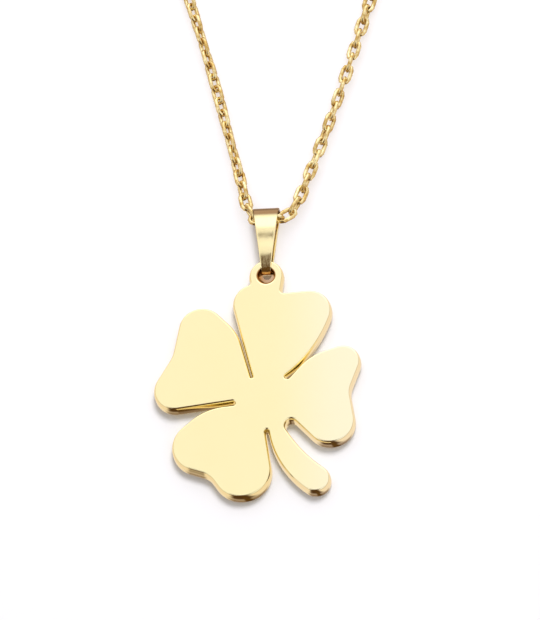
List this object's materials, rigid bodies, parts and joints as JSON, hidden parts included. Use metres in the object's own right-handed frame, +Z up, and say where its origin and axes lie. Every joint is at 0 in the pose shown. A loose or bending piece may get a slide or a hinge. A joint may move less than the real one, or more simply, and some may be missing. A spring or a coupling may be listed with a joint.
{
  "type": "clover pendant necklace",
  "caption": "Flat four leaf clover pendant with a folded tapered bail on a closed loop of fine oval-link cable chain, lying flat.",
  "frame": {"origin": "on the surface that the necklace lies on, straight below the place where the chain runs through the bail", "axes": "+Z up from the surface, -Y from the bail along the pendant to the clover's foot, +Y along the open loop of the chain, +X to the right as the pendant is seen from above"},
  "size_m": [0.087, 0.236, 0.003],
  "materials": {
    "clover_gold": "mirror polished gold plating",
    "bail_gold": "polished gold plating, faintly drawn along the strap",
    "chain_gold": "polished gold plated wire",
    "clasp_gold": "polished gold plating"
  },
  "bodies": {
    "root": {"clover": "clover_gold", "bail": "bail_gold", "chain_left": "chain_gold", "chain_right": "chain_gold", "clasp": "clasp_gold", "end_ring": "clasp_gold"}
  },
  "joints": []
}
